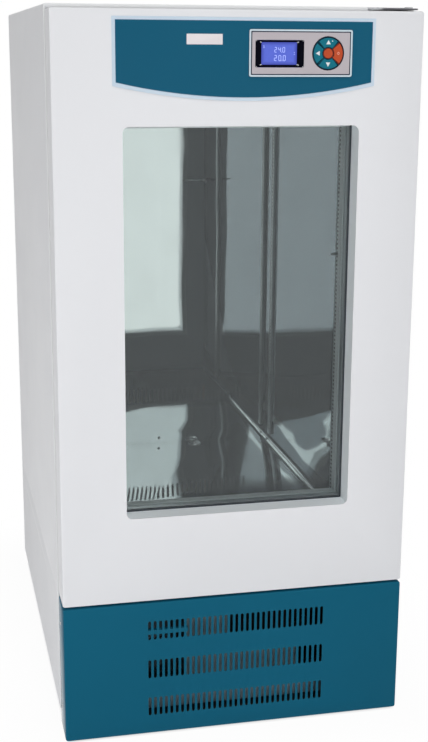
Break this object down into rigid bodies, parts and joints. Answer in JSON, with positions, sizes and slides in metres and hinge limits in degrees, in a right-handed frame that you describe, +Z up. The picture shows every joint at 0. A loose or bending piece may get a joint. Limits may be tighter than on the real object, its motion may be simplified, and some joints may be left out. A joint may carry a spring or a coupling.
{
  "type": "biochemical incubator",
  "caption": "Tall floor-standing laboratory incubator: insulated cabinet, full-height door with a glazed window, display and key pad, mirror-steel chamber and slotted lower cover.",
  "frame": {"origin": "centre of the overall box, on the floor", "axes": "+Z up, front and door towards -Y, +X to the right of someone facing the front"},
  "size_m": [0.805, 1.126, 1.646],
  "materials": {
    "back_panel": "powder coat",
    "base_pan": "galvanised",
    "cabinet_insulation": "rigid foam",
    "cabinet_shell": "powder coat, satin",
    "cable_gland": "matt",
    "chamber_liner": "mirror-polished stainless steel",
    "circulation_fan": "matt",
    "circulation_motor": "satin",
    "compressor": "satin black",
    "condenser": "painted black",
    "control_bezel": "fine matt",
    "control_board": "green lacquer",
    "cooling_fan": "matt",
    "cooling_motor": "satin",
    "cross_rail": "powder coat",
    "discharge_line": "drawn copper tube",
    "door_gasket": "soft grey",
    "door_insulation": "rigid foam",
    "door_liner": "satin",
    "door_skin": "powder coat, satin",
    "drain_fitting": "turned",
    "drip_tray": "galvanised",
    "duct_panel": "mirror-polished stainless steel",
    "electrical_box": "satin",
    "evaporator": "bare fins",
    "fan_shroud": "galvanised",
    "foot_front_left": "matt",
    "foot_front_right": "matt",
    "foot_rear_left": "matt",
    "foot_rear_right": "matt",
    "glass_inner": "clear",
    "glass_outer": "clear",
    "glass_spacer": "bare",
    "glazing_bead": "satin",
    "heater": "heat-tinted",
    "hinge_bracket_bottom": "zinc plated",
    "hinge_bush_bottom": "natural",
    "hinge_bush_top": "natural",
    "hinge_pin_top": "turned",
    "hinge_plate_top": "zinc plated",
    "key_centre": "orange, satin",
    "key_down": "teal, satin",
    "key_left": "teal, satin",
    "key_pad_base": "dark ring",
    "key_right": "orange, satin",
    "key_up": "teal, satin",
    "lcd_frame": "dark, satin",
    "lcd_screen": "blue back-lit display",
    "lower_cover": "powder coat, satin",
    "machine_bulkhead": "galvanised",
    "nameplate": "printed film on a plate",
    "opening_trim": "satin",
    "rear_grille": "powder coat",
    "shelf_standard_front_left": "polished stainless steel",
    "shelf_standard_front_right": "polished stainless steel",
    "shelf_standard_rear_left": "polished stainless steel",
    "shelf_standard_rear_right": "polished stainless steel",
    "suction_line": "drawn copper tube",
    "temperature_probe": "turned",
    "window_frame": "satin"
  },
  "bodies": {
    "cabinet": {"back_panel": "back_panel", "base_pan": "base_pan", "cabinet_insulation": "cabinet_insulation", "cabinet_shell": "cabinet_shell", "cable_gland": "cable_gland", "chamber_liner": "chamber_liner", "circulation_motor": "circulation_motor", "compressor": "compressor", "condenser": "condenser", "cooling_motor": "cooling_motor", "cross_rail": "cross_rail", "discharge_line": "discharge_line", "drain_fitting": "drain_fitting", "drip_tray": "drip_tray", "duct_panel": "duct_panel", "electrical_box": "electrical_box", "evaporator": "evaporator", "fan_shroud": "fan_shroud", "foot_front_left": "foot_front_left", "foot_front_right": "foot_front_right", "foot_rear_left": "foot_rear_left", "foot_rear_right": "foot_rear_right", "heater": "heater", "hinge_bracket_bottom": "hinge_bracket_bottom", "hinge_pin_top": "hinge_pin_top", "hinge_plate_top": "hinge_plate_top", "lower_cover": "lower_cover", "machine_bulkhead": "machine_bulkhead", "opening_trim": "opening_trim", "rear_grille": "rear_grille", "shelf_standard_front_left": "shelf_standard_front_left", "shelf_standard_front_right": "shelf_standard_front_right", "shelf_standard_rear_left": "shelf_standard_rear_left", "shelf_standard_rear_right": "shelf_standard_rear_right", "suction_line": "suction_line", "temperature_probe": "temperature_probe"},
    "door": {"door_skin": "door_skin", "door_insulation": "door_insulation", "door_liner": "door_liner", "door_gasket": "door_gasket", "window_frame": "window_frame", "glass_outer": "glass_outer", "glass_spacer": "glass_spacer", "glass_inner": "glass_inner", "glazing_bead": "glazing_bead", "hinge_bush_top": "hinge_bush_top", "hinge_bush_bottom": "hinge_bush_bottom", "nameplate": "nameplate", "control_bezel": "control_bezel", "lcd_frame": "lcd_frame", "lcd_screen": "lcd_screen", "key_pad_base": "key_pad_base", "control_board": "control_board"},
    "key_up": {"key_up": "key_up"},
    "key_left": {"key_left": "key_left"},
    "key_right": {"key_right": "key_right"},
    "key_down": {"key_down": "key_down"},
    "key_centre": {"key_centre": "key_centre"},
    "circulation_fan": {"circulation_fan": "circulation_fan"},
    "cooling_fan": {"cooling_fan": "cooling_fan"}
  },
  "joints": [
    {"name": "door_hinge", "type": "hinge", "parent": "cabinet", "child": "door", "pos_m": [0.381, -0.509, 0.987], "axis": [0, 0, 1], "range_deg": [0, 120]},
    {"name": "key_up_press", "type": "slide", "parent": "door", "child": "key_up", "axis": [0, 1, 0], "range_m": [0, 0.001], "stiffness_N_per_m": 1200},
    {"name": "key_left_press", "type": "slide", "parent": "door", "child": "key_left", "axis": [0, 1, 0], "range_m": [0, 0.001], "stiffness_N_per_m": 1200},
    {"name": "key_right_press", "type": "slide", "parent": "door", "child": "key_right", "axis": [0, 1, 0], "range_m": [0, 0.001], "stiffness_N_per_m": 1200},
    {"name": "key_down_press", "type": "slide", "parent": "door", "child": "key_down", "axis": [0, 1, 0], "range_m": [0, 0.001], "stiffness_N_per_m": 1200},
    {"name": "key_centre_press", "type": "slide", "parent": "door", "child": "key_centre", "axis": [0, 1, 0], "range_m": [0, 0.001], "stiffness_N_per_m": 1200},
    {"name": "circulation_fan_spin", "type": "hinge", "parent": "cabinet", "child": "circulation_fan", "pos_m": [0, 0.471, 1.44], "axis": [0, 1, 0], "continuous": true},
    {"name": "cooling_fan_spin", "type": "hinge", "parent": "cabinet", "child": "cooling_fan", "pos_m": [0.175, -0.317, 0.205], "axis": [0, 1, 0], "continuous": true}
  ]
}
